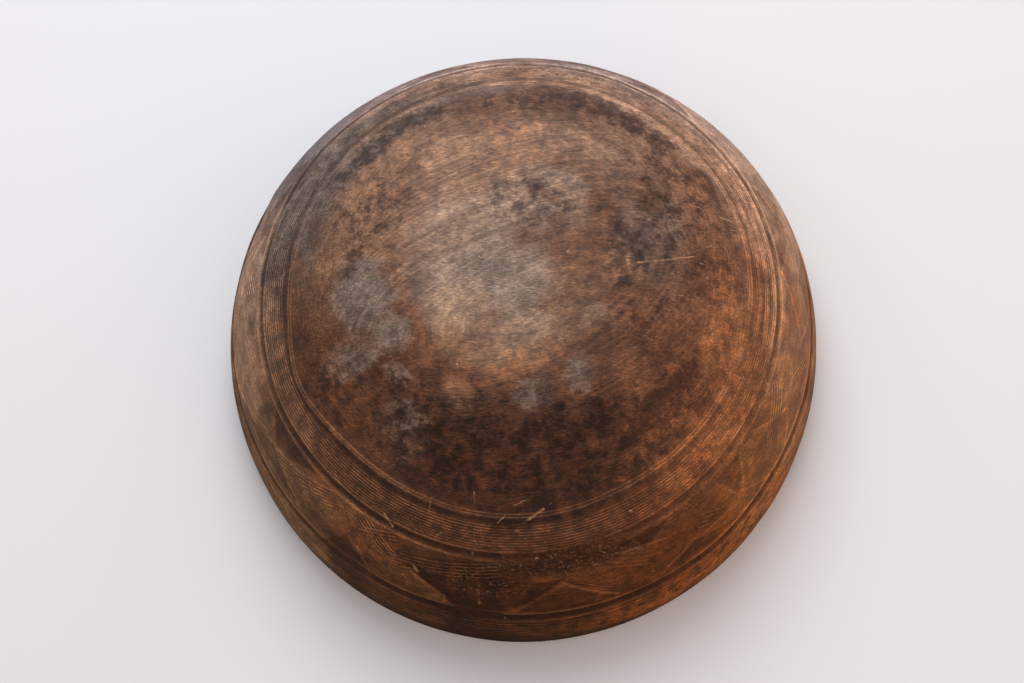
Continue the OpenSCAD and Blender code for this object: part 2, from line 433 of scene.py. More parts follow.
# Worn, handled, smoked and dusty places, and some painted shade near the rim towards -Y, laid one over
# another:
# a, s, half width in degrees, half height in mm, tone, strength
PATCHES = [
    # underside, from the middle outwards
    (0, 0, ALL_ROUND, 20, "pale", 1.0), (-130, 30, 75, 24, "pale", 0.9), (-150, 46, 50, 22, "straw", 0.8),
    (70, 24, 60, 12, "tan", 0.5), (-66, 30, 22, 14, "straw", 0.9), (-15, 32, 62, 16, "straw", 0.5),
    (-8, 38, 48, 12, "tan", 0.6), (60, 42, 16, 9, "straw", 0.5), (-157, 70, 34, 27, "tan", 0.95),
    (-126, 84, 18, 14, "brown", 0.35), (-108, 64, 26, 22, "tan", 0.5), (-100, 92, 18, 12, "brown", 0.5),
    (-52, 50, 24, 14, "rust", 0.35), (-12, 50, 30, 8, "rust", 0.4), (-22, 60, 8, 7, "orange", 0.5),
    (67, 61, 8, 7, "orange", 0.6), (-48, 82, 26, 26, "umber", 0.85), (-5, 84, 48, 36, "dark", 1.0),
    (16, 108, 34, 10, "dark", 0.6), (28, 94, 12, 8, "dark", 0.6), (26, 48, 18, 10, "umber", 0.5),
    (46, 54, 18, 12, "umber", 0.5), (48, 98, 22, 14, "rust", 0.6), (76, 103, 26, 14, "orange", 0.5),
    (112, 76, 24, 26, "smoke", 0.5), (68, 78, 8, 8, "orange", 0.35), (150, 76, 22, 20, "tan", 0.6),
    (180, 66, 20, 24, "tan", 0.8), (-174, 96, 26, 9, "umber", 0.25), (130, 98, 22, 10, "tan", 0.4),
    (10, 25, 22, 8, "straw", 0.8), (118, 20, 34, 9, "brown", 0.35), (-137, 38, 22, 10, "straw", 0.7),
    (155, 49, 14, 8, "straw", 0.6), (-112, 87, 28, 14, "tan", 0.7), (-165, 87, 14, 10, "umber", 0.45),
    (127, 73, 9, 9, "umber", 0.4), (60, 83, 14, 15, "umber", 0.55), (24, 94, 11, 8, "dark", 0.7),
    (50, 96, 6, 6, "orange", 0.6), (97, 99, 9, 8, "rust", 0.5), (-24, 60, 8, 7, "tan", 0.6),
    (-157, 61, 10, 8, "tan", 0.7),
    # grey dust
    (-84, 72, 15, 16, "dusty", 0.9), (-66, 62, 8, 10, "dusty", 0.8), (-63, 84, 5, 22, "dusty", 0.5),
    (5, 55, 8, 7, "dusty", 0.4), (31, 53, 7, 8, "dusty", 0.4), (-36, 86, 9, 14, "dusty", 0.25),
    # ring and comb
    (-132, 110, 46, 16, "smoke", 0.9), (-112, 126, 34, 16, "smoke", 0.9), (-176, 122, 26, 14, "rose", 0.6),
    (-62, 108, 24, 11, "umber", 0.9), (-34, 120, 34, 12, "umber", 0.5), (38, 118, 18, 16, "rust", 0.9),
    (64, 122, 26, 16, "orange", 0.9), (100, 126, 30, 16, "orange", 0.9), (138, 122, 40, 16, "rose", 0.85),
    (-76, 128, 20, 12, "tan", 0.7), (-150, 140, 20, 14, "dusty", 0.5), (-66, 110, 13, 10, "dark", 0.45),
    (-7, 105, 14, 6, "dark", 0.45), (52, 104, 26, 6, "umber", 0.55), (-146, 110, 20, 9, "tan", 0.6),
    (-67, 126, 8, 8, "umber", 0.5), (146, 135, 40, 9, "straw", 0.6), (-157, 138, 16, 8, "straw", 0.5),
    (-98, 137, 22, 7, "rose", 0.6), (-138, 149, 16, 9, "straw", 0.5),
    # side wall
    (-165, 150, 26, 20, "tan", 0.9), (-88, 155, 24, 24, "rose", 0.7), (-60, 162, 12, 18, "tan", 0.6),
    (-128, 160, 20, 30, "dusty", 0.8), (-28, 160, 32, 26, "umber", 0.5), (-34, 140, 14, 7, "rust", 0.6),
    (-5, 165, 20, 34, "dark", 0.8), (28, 150, 20, 16, "rust", 0.8), (26, 148, 14, 14, "umber", 0.6),
    (30, 195, 26, 24, "rust", 0.9), (58, 170, 22, 34, "orange", 0.75), (76, 148, 18, 14, "orange", 0.8),
    (92, 165, 22, 26, "orange", 0.7), (122, 158, 30, 26, "rose", 0.8), (160, 175, 34, 30, "tan", 0.6),
    # The dark and umber patches near the rim towards -Y, on this line and the next, are partly dark wood
    # and partly painted shade
    (-45, 185, 10, 22, "tan", 0.4), (-22, 198, 12, 20, "umber", 0.6), (-10, 198, 22, 24, "dark", 0.8),
    (-165, 195, 26, 26, "tan", 0.7), (-100, 200, 24, 22, "tan", 0.5), (-12, 218, 45, 12, "dark", 1.0),
    # smaller ones over these, all round
    (-58, 175, 14, 26, "tan", 0.6), (-160, 132, 26, 11, "rose", 0.8), (120, 133, 56, 9, "rose", 0.7),
    (-90, 158, 26, 20, "rose", 0.6), (56, 195, 16, 24, "orange", 0.9), (42, 205, 22, 11, "orange", 1.0),
    (-38, 150, 14, 12, "orange", 0.45), (98, 82, 9, 18, "umber", 0.4), (112, 92, 20, 12, "rust", 0.6),
    (60, 165, 14, 26, "tan", 0.5), (128, 104, 22, 5, "brown", 0.6), (37, 160, 10, 18, "umber", 0.5),
    (6, 158, 8, 14, "dark", 0.4), (10, 178, 17, 11, "dark", 0.6), (142, 129, 20, 6, "straw", 0.45),
    (158, 135, 18, 8, "straw", 0.5), (-50, 192, 6, 9, "tan", 0.6), (-52, 158, 7, 12, "umber", 0.35),
    (74, 148, 10, 12, "rose", 0.5), (68, 178, 8, 12, "rose", 0.4), (50, 191, 7, 10, "rose", 0.3),
    (20, 92, 9, 7, "dark", 0.5), (-38, 83, 8, 8, "dark", 0.4), (-47, 198, 13, 15, "tan", 0.8),
    (-37, 138, 8, 5, "tan", 0.5), (-7.4, 157, 1.5, 12, "rust", 0.9), (-46, 151, 9, 9, "tan", 0.5),
    (121, 106, 5, 5, "umber", 0.9), (121, 106, 1.8, 2.2, "orange", 0.8), (166, 78, 8, 8, "tan", 0.7),
    (149, 77, 9, 8, "tan", 0.7), (165, 45, 6, 5, "umber", 0.6), (52, 94, 7, 7, "orange", 0.5),
    (-157, 138, 12, 8, "straw", 0.4), (0, 180, 36, 8, "dark", 0.5), (-5, 103, 14, 6, "dark", 0.5),
    (127, 73, 9, 8, "umber", 0.5), (165, 85, 16, 6, "brown", 0.5), (-168, 98, 14, 8, "brown", 0.4),
    (-2, 172, 26, 18, "dark", 0.3), (103, 48, 14, 8, "tan", 0.35), (172, 50, 10, 8, "straw", 0.3),
    (142, 40, 12, 8, "straw", 0.4), (82, 38, 12, 8, "tan", 0.4), (-8, 28, 26, 9, "straw", 0.35),
    (112, 152, 12, 10, "brown", 0.4), (135, 116, 14, 5, "tan", 0.45), (-127, 39, 12, 8, "straw", 0.35),
    (150, 126, 14, 5, "straw", 0.35), (-24, 158, 4, 5, "tan", 0.35), (-20, 165, 3.5, 5, "tan", 0.45),
    (-16, 171, 3, 5, "tan", 0.5), (-12, 152, 1.5, 9, "rust", 0.8), (-1, 158, 2.2, 14, "rust", 0.8),
    (4, 150, 4, 6, "rust", 0.6), (-4, 186, 4, 7, "rust", 0.5),
]
# Patches with ragged edges: a, s, half width in degrees, half height in mm,
# kind (0 grey dust, 1 dark blots, 2 orange blots), strength
VEILS = [
    (-84, 72, 17, 17, 0, 1.0), (-66, 62, 9, 10, 0, 0.8), (-62, 86, 6, 20, 0, 0.5), (4, 57, 8, 6, 0, 0.6),
    (31, 56, 7, 11, 0, 0.8), (-36, 82, 11, 9, 0, 0.42), (-50, 72, 8, 8, 0, 0.5), (6, 50, 9, 5, 0, 0.5),
    (-120, 120, 30, 12, 0, 0.6), (20, 8, 90, 14, 0, 0.55), (-130, 160, 24, 26, 0, 0.7),
    (118, 84, 28, 28, 1, 0.42), (150, 102, 28, 10, 1, 0.7), (95, 102, 14, 12, 1, 0.2),
    (72, 56, 16, 20, 1, 0.4), (-5, 82, 60, 34, 1, 0.45), (48, 92, 20, 11, 1, 0.9),
    (20, 107, 26, 8, 1, 0.7), (-140, 102, 26, 9, 1, 0.7), (-110, 76, 30, 24, 1, 0.35),
    (-60, 106, 14, 12, 1, 0.5), (176, 97, 22, 8, 1, 0.5), (105, 52, 30, 14, 1, 0.55),
    (170, 40, 40, 18, 1, 0.4), (-28, 150, 26, 14, 1, 0.3), (30, 200, 60, 26, 1, 0.3),
    (180, 72, 22, 22, 2, 0.4), (138, 70, 13, 10, 2, 0.2), (-135, 80, 30, 24, 2, 0.25),
    (82, 98, 16, 10, 2, 0.6), (60, 84, 10, 8, 2, 0.25), (10, 41, 28, 9, 2, 0.6),
    (45, 125, 30, 14, 2, 0.25), (-60, 97, 12, 10, 2, 0.5), (-20, 96, 44, 16, 2, 0.3),
    (64, 108, 22, 8, 2, 0.5), (34, 185, 44, 34, 2, 0.3),
]


def painted_light_tint(a, s):
    """Painted light: the wood is cooler towards +Y, where the sky light falls, and warmer and darker
    towards -Y, where warm bounce and shade fall; a little warmer towards -X, and lighter on the underside.
    """
    south, west = np.cos(np.radians(a)), np.sin(np.radians(a))
    low, wall = step(s, 20, 80), step(s, 120, 150)
    tint = np.outer(low * south, (-0.01, -0.11, -0.28)) + np.outer(wall, (0.03, 0.06, 0.04))
    tint += np.outer(wall * south, (-0.10, -0.18, -0.50)) + np.outer(wall * west, (0.04, 0.0, -0.11))
    tint += 0.06 * (1 - step(s, 80, 110))[:, None]
    return np.exp(tint)


def lay(colour, tone, weight):
    """The colour with a tone laid over it."""
    return colour + weight[:, None] * (np.array(tone) - colour)


def patina(a, s, p):
    """Colour of the outside, with painted light laid over it."""
    warp_a = turn(a, 0) + 7 * fractal(p, 38.0, 1) * 60 / np.maximum(s, 25)
    warp_s = s + 5 * fractal(p, 30.0, 4)
    edge = 0.35 * fractal(p, 11.0, 7)
    colour = np.tile(np.array(TONES["brown"]), (len(a), 1))
    for mid, high, wide, tall, tone, strength in PATCHES:
        across = 0.0 if wide == ALL_ROUND else turn(warp_a, mid) / wide
        distance = np.sqrt(across ** 2 + ((warp_s - high) / tall) ** 2)
        colour = lay(colour, TONES[tone], strength * (1 - step(distance + edge, 0.55, 1.25)))
    # Painted light: a tint for how the light falls, laid over the patches
    return colour * painted_light_tint(a, s)


def patina_inside(a, s, p):
    """Colour of the hollow: warmer on the floor, darker near the rim."""
    colour = np.tile(np.array(INSIDE_TONE), (len(a), 1))
    broad, small = fractal(p, 42.0, 21), fractal(p, 16.0, 22)
    colour = lay(colour, TONES["orange"], 0.6 * np.clip(0.35 + 0.7 * broad + 0.3 * small, 0, 1))
    on_floor, near_rim = 0.75 * (1 - step(s, 40, 120)), 0.9 * step(s, 150, 215)
    colour = lay(colour, TONES["tan"], 0.45 * np.clip(on_floor + 0.5 * small, 0, 1))
    return lay(colour, TONES["dark"], 0.6 * np.clip(near_rim + 0.5 * broad, 0, 1))


def veils(a, s, p):
    """Amounts of grey dust, dark blots and orange blots."""
    out = np.zeros((len(a), 3))
    warp_s = s + 3 * fractal(p, 22.0, 14)
    for mid, high, wide, tall, kind, strong in VEILS:
        distance = np.hypot(turn(a, mid) / wide, (warp_s - high) / tall)
        out[:, kind] = np.maximum(out[:, kind], strong * (1 - step(distance, 0.35, 1.3)))
    return out


# ------------ mesh
def spans(*parts):
    """Stops along runs of (from, to, about how far apart)."""
    out = [parts[0][0]]
    for lo, hi, size in parts:
        count = max(1, round((hi - lo) / size))
        out += [lo + (hi - lo) * (i + 1) / count for i in range(count)]
    return out


# Points round a ring: more of them, and closer rings, where the triangles are
COARSE, FINE = 360, 720
FINE_FROM, FINE_TO = 136, 174
COMB_ROW = COMB_PITCH / 5
COMB_ROWS_FROM = 116.4
COMB_ROWS_TO = COMB_ROWS_FROM + 50 * COMB_ROW
ROWS = spans(
    (3, FLAT, 3), (FLAT, 105, 2.4), (105, 110, 1.0), (110, 113.6, 0.275), (113.6, COMB_ROWS_FROM, 0.7),
    (COMB_ROWS_FROM, COMB_ROWS_TO, COMB_ROW), (COMB_ROWS_TO, FINE_FROM, 0.45), (FINE_FROM, FINE_TO, 0.76),
    (FINE_TO, 183, 0.45), (183, 201.4, 0.46), (201.4, S_SIDE, 1.8), (S_SIDE, S_RIM - 2.2, 1.4))
INNER_ROWS = [S_SIDE - 0.2] + [s for s in spans((4, 210, 4.2))[::-1] if s < S_SIDE - 4]
# The rounded rim: how far in from the outside, how far down from the top
RIM_ROWS = [
    (0.0, 1.3), (0.5, 0.5), (1.4, 0.1), (2.6, 0.0),
    (RIM_T - 2.6, 0.0), (RIM_T - 1.4, 0.1), (RIM_T - 0.5, 0.5), (RIM_T, 1.3),
]
POINTS, FACES, LAYERS = [], [], {name: [] for name in ("tone", "mask", "hatch", "veil")}


def ring_angles(count):
    return np.arange(count) * 360.0 / count - 180.0


def place(a, r, z):
    """Points at angle, radius and height, on a block that is not perfectly round."""
    round_by = np.radians(a)
    from_x = round_by - math.pi / 2
    uneven = 1 - 0.0031 * np.cos(2 * from_x) + 0.0045 * np.sin(3 * from_x)
    return np.stack([-np.sin(round_by) * r * uneven, -np.cos(round_by) * r * uneven, z + 0 * r], 1)


def add_ring(points, tone, mask, strokes=None, veil=None):
    """Add a ring's points with their colours, and return where it starts and how many they are."""
    start, count = sum(len(ring) for ring in POINTS), len(points)
    POINTS.append(points)
    LAYERS["tone"].append(tone)
    LAYERS["mask"].append(mask)
    LAYERS["hatch"].append(np.zeros((count, 4)) if strokes is None else strokes)
    LAYERS["veil"].append(np.zeros((count, 3)) if veil is None else veil)
    return start, count


def stitch(lower, upper):
    """Faces between two rings, one of which may have twice the other's points."""
    (low, low_count), (high, high_count) = lower, upper
    count = min(low_count, high_count)
    for k in range(count):
        j = (k + 1) % count
        if low_count == high_count:
            FACES.append((low + k, low + j, high + j, high + k))
        elif low_count < high_count:
            FACES.append((low + k, low + j, high + 2 * j, high + 2 * k + 1, high + 2 * k))
        else:
            FACES.append((low + 2 * k, low + 2 * k + 1, low + 2 * j, high + j, high + k))


def close_middle(ring, point, tone, inside):
    """A fan of faces from a point on the axis to a ring."""
    centre, _ = add_ring(np.array([point]), tone, np.array([[0.0, 0.0, 0.0, float(inside)]]))
    start, count = ring
    for k in range(count):
        here, following = start + k, start + (k + 1) % count
        FACES.append((centre, here, following) if inside else (centre, following, here))


def outer_ring(u):
    """One ring of the outside: straying, carved, dented, and flat where the bowl stands."""
    a = ring_angles(FINE if FINE_FROM <= u <= FINE_TO else COARSE)
    ring_u = np.full(len(a), u)
    s = np.clip(u + wander(a, ring_u), 0, S_RIM - 1)
    p = place(a, *outside(s))
    cut = carve(a, ring_u, s, p)
    uneven = 0.35 * fractal(p, 60.0, 12) + 0.12 * noise(p, 14.0, 13)
    depth = cut.depth - uneven * step(s, 6, 40)
    depth = np.where(s < FLAT + 14, depth * step(s, FLAT - 6, FLAT + 14), depth)
    points = place(a, *off_wall(s, depth))
    return add_ring(points, patina(a, s, p), cut.mask(), hatch(a, ring_u, s, p), veils(a, s, p))


def rim_ring(inset, down):
    """One ring of the rim, with small dents."""
    a = ring_angles(COARSE)
    true_rim = place(a, np.full(COARSE, RADIUS), HEIGHT)
    wave = 0.35 * 0.5 * noise(true_rim, 45.0, 3)
    dent = 0.25 * np.clip(noise(true_rim, 9.0, 6) - 0.35, 0, 1)
    points = place(a, np.full(COARSE, RADIUS - inset), HEIGHT - down - 0.35 + wave - dent)
    light = np.clip(0.25 + 0.2 * noise(points, 14.0, 2), 0, 1)
    mask = np.stack([0 * a, light, 0 * a, 0 * a], 1)
    return add_ring(points, patina(a, np.full(COARSE, S_RIM), points), mask)


def inner_ring(at):
    """One ring of the hollow, with shallow tool marks."""
    a, s = ring_angles(COARSE), np.full(COARSE, at)
    thick = FLOOR_T - (FLOOR_T - RIM_T) * (s / S_SIDE) ** 2
    p = place(a, *off_wall(s, thick))
    gouge = 0.28 * np.abs(np.sin(s / 9.0 + 0.6 * noise(p, 40.0, 5))) + 0.25 * noise(p, 16.0, 9)
    gouge = gouge * step(s, 8, 40) * (1 - 0.8 * step(s, 185, 210))
    points = place(a, *off_wall(s, thick + gouge))
    dark = np.clip(0.1 + 0.15 * noise(points, 20.0, 8), 0, 1)
    mask = np.stack([dark, 0 * a, 0 * a, np.ones(COARSE)], 1)
    return add_ring(points, patina_inside(a, s, p), mask)


def link(ob):
    """Put an object in the scene."""
    bpy.context.scene.collection.objects.link(ob)
    return ob


def carved_bowl():
    """The bowl as one closed mesh, with what the material needs as colour layers."""
    rings = [outer_ring(u) for u in ROWS]
    rings += [rim_ring(inset, down) for inset, down in RIM_ROWS]
    rings += [inner_ring(s) for s in INNER_ROWS]
    for lower, upper in zip(rings, rings[1:]):
        stitch(lower, upper)
    floor_point = (0.0, 0.0, FLOOR_T)
    floor_tone = patina_inside(np.zeros(1), np.zeros(1), np.array([floor_point]))
    close_middle(rings[0], (0.0, 0.0, 0.0), LAYERS["tone"][0][:1], False)
    close_middle(rings[-1], floor_point, floor_tone, True)
    mesh = bpy.data.meshes.new("carved_bowl")
    mesh.from_pydata((np.concatenate(POINTS) / MM_PER_M).tolist(), [], FACES)
    mesh.update()
    mesh.shade_smooth()
    for name, parts in LAYERS.items():
        values = np.ones((len(mesh.vertices), 4), np.float32)
        layer_values = np.concatenate(parts)
        values[:, :layer_values.shape[1]] = layer_values
        layer = mesh.color_attributes.new(name, "FLOAT_COLOR", "POINT")
        layer.data.foreach_set("color", values.ravel())
    return link(bpy.data.objects.new("carved_bowl", mesh))


# ------------ shader nodes
class Graph:
    """Short names for making shader nodes. A value is a number, a tuple or a node's output."""

    def __init__(self, owner):
        owner.use_nodes = True
        self.tree = owner.node_tree
        self.tree.nodes.clear()

    def add(self, kind, **settings):
        node = self.tree.nodes.new("ShaderNode" + kind)
        for name, value in settings.items():
            setattr(node, name, value)
        return node

    def put(self, socket, value):
        """Link or set a socket. None leaves it as it is."""
        if hasattr(value, "is_output"):
            self.tree.links.new(value, socket)
        elif value is not None:
            socket.default_value = value

    def fill(self, node, *values):
        """Put values into a node's first inputs, and return its first output."""
        for socket, value in zip(node.inputs, values):
            self.put(socket, value)
        return node.outputs[0]

    def math(self, operation, x, y=None, z=None, clamp=False):
        return self.fill(self.add("Math", operation=operation, use_clamp=clamp), x, y, z)

    def times(self, x, y):
        return self.math("MULTIPLY", x, y)

    def times_add(self, x, y, z, clamp=False):
        return self.math("MULTIPLY_ADD", x, y, z, clamp)

    def vector(self, operation, x, y=None, scale=None):
        node = self.add("VectorMath", operation=operation)
        self.fill(node, x, y, None, scale)
        return node.outputs["Value" if operation in ("LENGTH", "DOT_PRODUCT") else "Vector"]

    def fit(self, x, lo, hi, low=0.0, high=1.0, curve="SMOOTHSTEP"):
        """low where x is at lo, high where it is at hi, and smooth between."""
        return self.fill(self.add("MapRange", interpolation_type=curve), x, lo, hi, low, high)

    def noise(self, where, scale, detail=2.0, rough=0.5, warp=0.0):
        node = self.add("TexNoise")
        names = ("Vector", "Scale", "Detail", "Roughness", "Distortion")
        for name, value in zip(names, (where, scale, detail, rough, warp)):
            self.put(node.inputs[name], value)
        return node

    def grain(self, where, scale, detail=3.0, rough=0.55, warp=0.0):
        return self.noise(where, scale, detail, rough, warp).outputs[0]

    def stretched(self, where, along, degrees):
        """Coordinates for streaks that lie along X, turned about Z."""
        node = self.add("Mapping")
        self.put(node.inputs["Vector"], where)
        self.put(node.inputs["Scale"], (along, 1.0, 1.0))
        self.put(node.inputs["Rotation"], (0, 0, math.radians(degrees)))
        return node.outputs[0]

    def mix(self, factor, x, y, kind="MIX"):
        node = self.add("Mix", data_type="RGBA", blend_type=kind)
        for index, value in ((0, factor), (6, x), (7, y)):
            self.put(node.inputs[index], value)
        return node.outputs[2]

    def stain(self, colour, factor, tint):
        """The colour, multiplied by a tint where the factor is 1."""
        return self.mix(factor, colour, self.mix(1.0, colour, tint, "MULTIPLY"))

    def shade(self, colour, value, lo, hi, low, high):
        """The colour, multiplied by low tint to high tint as the value goes from lo to hi."""
        return self.mix(1.0, colour, self.mix(self.fit(value, lo, hi), low + (1,), high + (1,)), "MULTIPLY")

    def split(self, socket):
        return self.fill(self.add("SeparateXYZ"), socket).node.outputs

    def attribute(self, name):
        return self.add("Attribute", attribute_name=name).outputs

    def blend(self, factor, first, second):
        """One shader, giving way to another by the factor."""
        return self.fill(self.add("MixShader"), factor, first, second)


# ------------ material
# Scratches: from (a, s) to (a, s), width in mm, strength
SCRATCHES = [
    ((-29.8, 129.6), (-27.2, 133.6), 1.5, 1.0), ((-9.3, 120), (-9.0, 135), 1.3, 0.65),
    ((-10.6, 103), (-9.6, 111.5), 0.9, 0.6), ((-20.8, 111), (-20.2, 119), 0.8, 0.55),
    ((-11.5, 117.6), (-17.2, 128), 1.0, 0.65), ((2, 116), (7, 110), 1.4, 0.8),
    ((7, 110), (12, 104.5), 0.8, 0.7), ((12, 104.5), (18, 105.5), 0.8, 0.45),
    ((-4, 116), (-2.3, 112.5), 1.0, 0.75), ((-0.2, 107.5), (3, 105), 1.0, 0.5),
    ((-7.6, 142), (-7.2, 168), 1.7, 0.5), ((-10, 143), (-9.7, 152), 1.0, 0.5),
    ((-2.7, 156), (-2.4, 181), 1.2, 0.4), ((-20.8, 151), (-19.9, 155), 2.0, 0.7),
    ((-8.8, 126.4), (-8.4, 127.4), 1.8, 0.7), ((97.6, 60), (97.9, 72), 0.7, 0.7),
    ((97.9, 72), (98.6, 84), 0.7, 0.85), ((97.5, 57), (97.6, 60), 1.1, 0.7),
    ((110.1, 104.5), (108.6, 110), 0.9, 0.8), ((115.9, 91.6), (113.9, 96.5), 0.7, 0.6),
    ((129.9, 73), (127.6, 76.3), 1.0, 0.6), ((101.6, 91), (101.4, 97), 0.6, 0.5),
    ((115.9, 75), (113.6, 84), 0.5, 0.4), ((104.6, 109.4), (104.4, 111.8), 0.9, 0.6),
    ((84, 74), (84.6, 78), 1.2, 0.6), ((131.9, 72.9), (128.1, 76.1), 0.6, 0.55),
    ((112.1, 81.5), (109.9, 88.4), 0.55, 0.5), ((110.9, 91.4), (109.6, 93.4), 0.7, 0.5),
    ((106.6, 103), (105.9, 111.4), 0.6, 0.5), ((139.1, 108.2), (136.9, 110.6), 0.6, 0.45),
    ((118.4, 67.7), (114.4, 73.1), 0.6, 0.5), ((127.9, 48.5), (121.4, 63), 0.5, 0.35),
    ((121.4, 63), (115.1, 68.9), 0.55, 0.4), ((117.9, 27), (117.9, 27.6), 1.5, 0.9),
    ((115.9, 59.6), (115.9, 60), 1.4, 0.7), ((82.4, 73.3), (82.4, 74), 1.4, 0.5),
    ((96.4, 87), (95.9, 89.4), 0.9, 0.6), ((120.4, 56), (118.1, 65), 0.5, 0.35),
    ((26.6, 123.1), (26.9, 123.9), 1.3, 0.9), ((0, 119.6), (0.6, 120), 1.4, 0.5),
]
# Colours, and tints that a colour is multiplied by
DUST = (0.140, 0.114, 0.105, 1)
GLOW_TINT, BLOT_TINT = (1.36, 1.20, 1.02, 1), (0.54, 0.50, 0.52, 1)
CUT_AND_SHADE_TINT, GAP_TINT = (0.36, 0.30, 0.25, 1), (0.54, 0.50, 0.47, 1)
PALE_HAIR_TINT, DARK_HAIR_TINT = (1.75, 1.65, 1.55, 1), (0.55, 0.52, 0.50, 1)
BARE_TINT, BARE_LIGHT = (2.2, 2.0, 1.8, 1), (0.096, 0.060, 0.034, 1)
SCRATCH_COLOUR = (0.40, 0.235, 0.130, 1)
FLECK_COLOUR = (0.22, 0.098, 0.042, 1)
SPECK_COLOUR = (0.46, 0.38, 0.32, 1)
# How far scratches stray, and their core and edge for each mm of width, in metres
SCRATCH_STRAY, SCRATCH_CORE, SCRATCH_EDGE = 0.0013, 0.00015, 0.00065
# Growth rings: how the block lay in the trunk
TRUNK_TILT = math.radians(24)
TRUNK_SQUEEZE, TRUNK_ASIDE = 0.42, 14.0


def wall_point(a, s):
    """A point of the outside, in metres."""
    r, z = outside(np.array([float(s)]))
    round_by = math.radians(a)
    return Vector((-math.sin(round_by) * r[0], -math.cos(round_by) * r[0], z[0])) / MM_PER_M


def circling(graph, across, along, z, spread):
    """Coordinates for lines that circle an axis, and the distance from it."""
    square = graph.math("ADD", graph.times(across, across), graph.times(along, along))
    reach = graph.math("SQRT", square)
    safe = graph.math("MAXIMUM", reach, 1.0)
    round_x, round_y = (graph.times(graph.math("DIVIDE", way, safe), spread) for way in (across, along))
    height = graph.times_add(z, 1.0, graph.times(reach, 1.0))
    return graph.fill(graph.add("CombineXYZ"), round_x, round_y, height), reach


def grain_lines(graph, here):
    """The wood's figure on the underside, giving way to turned lines on the wall."""
    x, y, z = graph.split(here)
    around, radius = circling(graph, x, y, z, 14.0)
    sin_tilt, cos_tilt = math.sin(TRUNK_TILT), math.cos(TRUNK_TILT)
    across = graph.times_add(x, -TRUNK_SQUEEZE * cos_tilt, graph.times(y, TRUNK_SQUEEZE * sin_tilt))
    along = graph.times_add(x, sin_tilt, graph.times_add(y, cos_tilt, TRUNK_ASIDE))
    growth, _ = circling(graph, across, along, z, 5.0)
    figure = graph.grain(growth, 0.75, 3.0, 0.62, 0.25)
    turned = graph.grain(around, 0.95, 2.0, 0.6)
    return graph.mix(graph.fit(radius, 62.0, 108.0, 0.1, 1.0), figure, turned)


def ragged(graph, amount, value, sharp):
    """An amount with ragged edges, which follow the value."""
    edge = graph.times_add(graph.math("SUBTRACT", amount, 0.5), 0.42, value)
    return graph.times(graph.fit(edge, 0.5 - sharp, 0.5 + sharp), graph.fit(amount, 0.02, 0.25))


def stained_wood(graph, here, mottle, fine, lines, dark):
    """The wood's colour before its light cuts: patina with painted light, dust, blots, grain, dark cuts
    with painted shade along the rim, hairs.
    """
    colour = graph.attribute("tone")["Color"]
    dust, blots, glow = graph.split(graph.attribute("veil")["Vector"])
    clouds = graph.grain(here, 0.05, 4.0, 0.65, 0.5)
    hair = graph.grain(graph.stretched(here, 0.18, 6), 0.85, 2.0, 0.6)
    gaps = graph.math("SUBTRACT", 1.0, mottle)
    colour = graph.stain(colour, ragged(graph, glow, mottle, 0.12), GLOW_TINT)
    colour = graph.stain(colour, ragged(graph, blots, gaps, 0.11), BLOT_TINT)
    colour = graph.mix(graph.times(ragged(graph, dust, mottle, 0.11), 0.5), colour, DUST)
    colour = graph.shade(colour, mottle, 0.36, 0.64, (0.78, 0.74, 0.72), (1.22, 1.20, 1.14))
    colour = graph.shade(colour, clouds, 0.38, 0.62, (0.82, 0.80, 0.80), (1.18, 1.16, 1.12))
    colour = graph.shade(colour, lines, 0.34, 0.66, (0.80, 0.78, 0.77), (1.22, 1.20, 1.17))
    colour = graph.shade(colour, fine, 0.32, 0.68, (0.68, 0.66, 0.65), (1.33, 1.31, 1.29))
    # Dark cuts, and the painted shade along the rim
    colour = graph.stain(colour, dark, CUT_AND_SHADE_TINT)
    colour = graph.stain(colour, graph.fit(hair, 0.60, 0.72, 0.0, 0.8), PALE_HAIR_TINT)
    return graph.stain(colour, graph.fit(hair, 0.30, 0.40, 0.7, 0.0), DARK_HAIR_TINT)


def hatching(graph):
    """The scored lines and the gaps between them, from both families."""
    strokes = graph.attribute("hatch")
    first_phase, first_on, second_phase = graph.split(strokes["Vector"])
    lines, gaps = [], []
    for phase, shown in ((first_phase, first_on), (second_phase, strokes["Alpha"])):
        wave = graph.math("SINE", graph.times(phase, 2 * math.pi))
        lines.append(graph.times(graph.fit(wave, 0.2, 0.95), shown))
        gaps.append(graph.times(graph.fit(wave, -0.8, 0.3, 1.0, 0.0), shown))
    return graph.math("MAXIMUM", *lines), graph.math("MAXIMUM", *gaps)


def light_cuts(graph, colour, mottle, fine, light, ridges, gaps):
    """Bare wood showing in the light cuts and along the scored lines."""
    bare = graph.mix(1.0, graph.mix(1.0, colour, BARE_TINT, "MULTIPLY"), BARE_LIGHT, "ADD")
    colour = graph.stain(colour, gaps, GAP_TINT)
    scored = graph.times(graph.times(ridges, graph.fit(mottle, 0.38, 0.60, 0.3, 1.0)), 0.82)
    worn = graph.times(light, graph.fit(fine, 0.3, 0.6, 0.55, 1.0))
    return graph.mix(graph.math("MAXIMUM", worn, scored, clamp=True), colour, bare)


